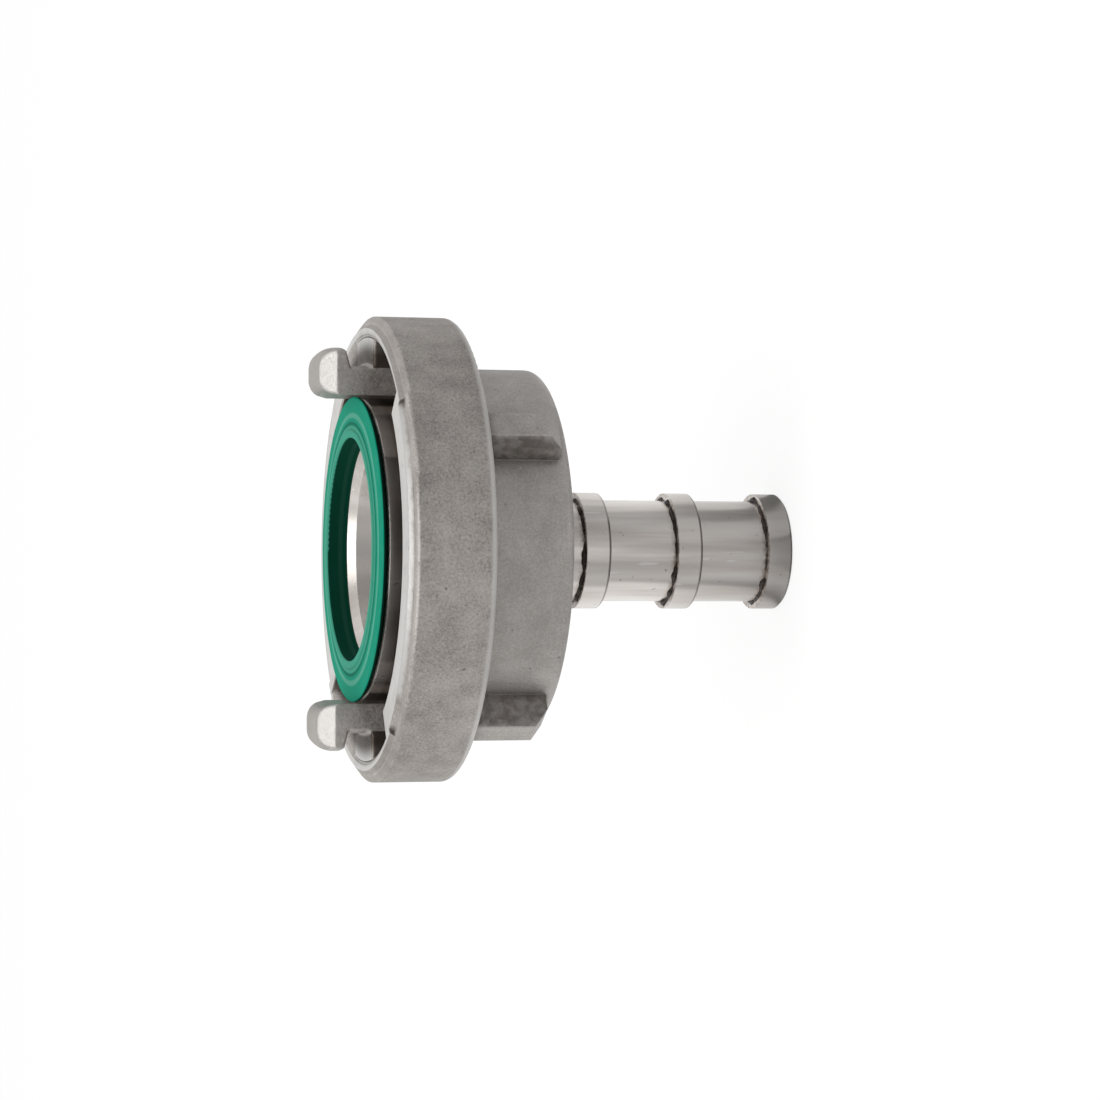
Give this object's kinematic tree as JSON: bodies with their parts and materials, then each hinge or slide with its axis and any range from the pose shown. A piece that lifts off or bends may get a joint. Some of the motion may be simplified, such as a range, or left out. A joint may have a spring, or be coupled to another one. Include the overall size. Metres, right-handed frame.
{
  "type": "quarter turn fire hose coupling",
  "caption": "Claw type quarter turn hose coupling with a swivelling claw ring, a green lip seal and a ridged hose tail.",
  "frame": {"origin": "centre of the hose tail's end face, on which the coupling stands", "axes": "+Z along the coupling's axis from the tail to the claw tips, X through both claws"},
  "size_m": [0.0995, 0.0994, 0.1037],
  "materials": {
    "cast_stainless": "blasted casting",
    "turned_stainless": "turned, bright",
    "seal": "matt moulded",
    "spring_steel": "drawn wire"
  },
  "bodies": {
    "shank": {"hose_shank": "turned_stainless", "seal_ring": "seal", "retaining_ring": "spring_steel"},
    "claw_ring": {"claw_ring": "cast_stainless"}
  },
  "joints": [
    {"name": "claw_ring_spin", "type": "hinge", "parent": "shank", "child": "claw_ring", "pos_m": [0, 0, 0.07], "axis": [0, 0, 1], "continuous": true}
  ]
}
